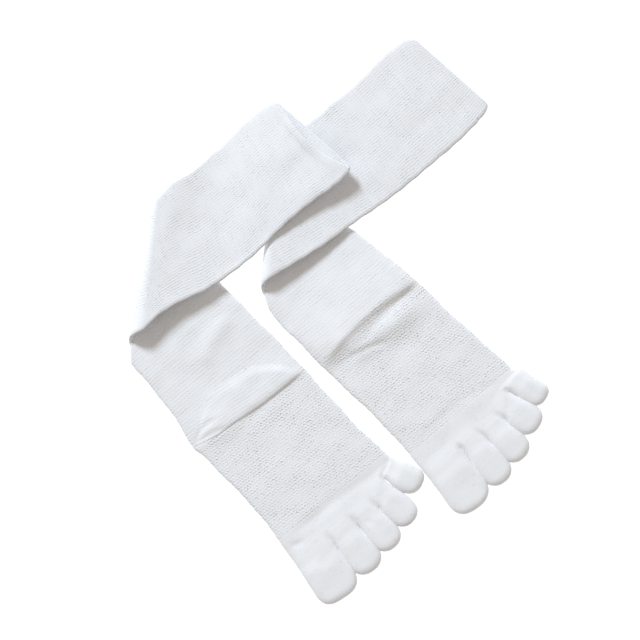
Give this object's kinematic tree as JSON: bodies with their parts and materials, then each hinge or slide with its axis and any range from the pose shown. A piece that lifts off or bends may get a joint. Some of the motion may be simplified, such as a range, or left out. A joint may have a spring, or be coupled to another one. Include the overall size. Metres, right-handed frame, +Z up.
{
  "type": "pair of toe socks",
  "caption": "Knee-high knitted toe socks with a separate pocket for each toe, laid flat with the legs folded back over the feet.",
  "frame": {"origin": "on the surface that the pair lies on, under the middle of the pair's bounding box", "axes": "+Z up from the surface, +Y from the big toe's tip towards the cuffs, +X from the ankles towards the toes"},
  "size_m": [0.326, 0.4414, 0.0207],
  "materials": {
    "rib": "fine ribbed white knit of the leg",
    "mesh": "dotted tuck-stitch white knit of the foot",
    "plain": "smooth plain white knit of the toes and heel",
    "welt": "smooth doubled white band at the cuff"
  },
  "bodies": {
    "root": {"right_welt": "welt", "right_leg": "rib", "right_fold": "rib", "right_ankle": "rib", "right_foot": "mesh", "right_forefoot": "plain", "right_heel": "plain", "right_toe_1": "plain", "right_toe_2": "plain", "right_toe_3": "plain", "right_toe_4": "plain", "right_toe_5": "plain", "left_welt": "welt", "left_leg": "rib", "left_fold": "rib", "left_ankle": "rib", "left_foot": "mesh", "left_forefoot": "plain", "left_heel": "plain", "left_toe_1": "plain", "left_toe_2": "plain", "left_toe_3": "plain", "left_toe_4": "plain", "left_toe_5": "plain"}
  },
  "joints": []
}
